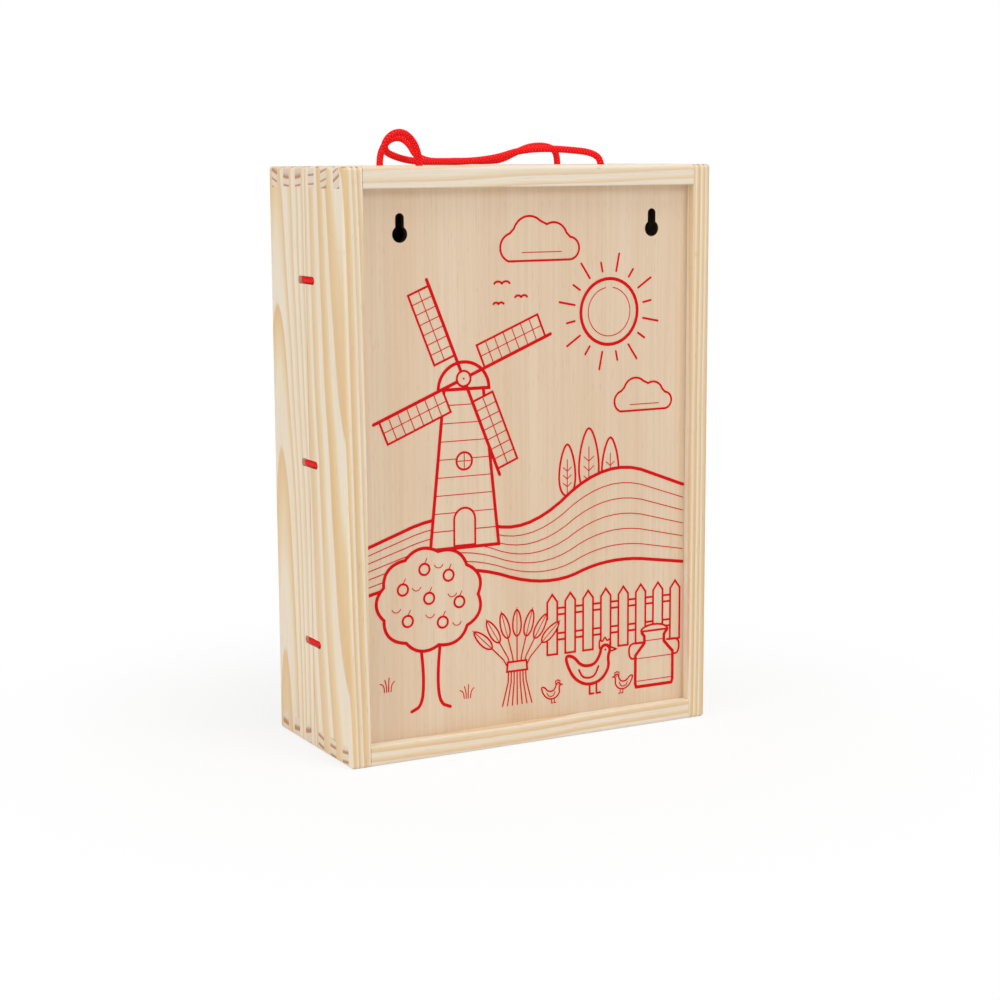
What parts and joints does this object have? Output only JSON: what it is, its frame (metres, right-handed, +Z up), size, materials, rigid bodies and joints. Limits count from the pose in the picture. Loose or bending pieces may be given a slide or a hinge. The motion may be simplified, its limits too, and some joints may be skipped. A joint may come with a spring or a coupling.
{
  "type": "wooden toy farm case",
  "caption": "Book-hinged wooden toy farm case with finger-jointed frames, keyhole panels, rope handles and stored play pieces.",
  "frame": {"origin": "middle of the closed case's footprint, on the surface it stands on, in the seam plane", "axes": "+Z up, +Y from the panel shown in the picture through the case to the other half, +X to the right as that panel is seen; the cord hinges are on the -X side"},
  "size_m": [0.21, 0.093, 0.3151],
  "materials": {
    "pine_board": "oiled pine",
    "plywood_panel": "sanded plywood with a printed line drawing",
    "red_cord": "braided cord",
    "magnet_steel": "nickel plated",
    "cow_wood": "stained beech",
    "sheep_wood": "stained beech",
    "hen_wood": "stained beech",
    "hay_bale_wood": "stained beech",
    "horse_wood": "stained beech",
    "pig_wood": "stained beech",
    "tree_wood": "stained beech",
    "fence_wood": "stained beech"
  },
  "bodies": {
    "rear_half": {"rear_side_left": "pine_board", "rear_side_right": "pine_board", "rear_top_board": "pine_board", "rear_bottom_board": "pine_board", "rear_panel": "plywood_panel", "rear_loft_shelf": "pine_board", "rear_handle_cord": "red_cord", "rear_handle_knots": "red_cord", "rear_hinge_knots": "red_cord", "rear_magnets": "magnet_steel", "hinge_cord_bottom": "red_cord", "hinge_cord_middle": "red_cord", "hinge_cord_top": "red_cord", "cow": "cow_wood", "sheep": "sheep_wood", "hen": "hen_wood", "hay_bale": "hay_bale_wood"},
    "front_half": {"front_side_left": "pine_board", "front_side_right": "pine_board", "front_top_board": "pine_board", "front_bottom_board": "pine_board", "front_panel": "plywood_panel", "front_loft_shelf": "pine_board", "front_handle_cord": "red_cord", "front_handle_knots": "red_cord", "front_hinge_knots": "red_cord", "front_magnets": "magnet_steel", "horse": "horse_wood", "pig": "pig_wood", "tree": "tree_wood", "fence": "fence_wood"}
  },
  "joints": [
    {"name": "case_hinge", "type": "hinge", "parent": "rear_half", "child": "front_half", "pos_m": [-0.1052, 0, 0.1485], "axis": [0, 0, 1], "range_deg": [0, 180], "deforming": ["hinge_cord_bottom", "hinge_cord_middle", "hinge_cord_top"]}
  ]
}
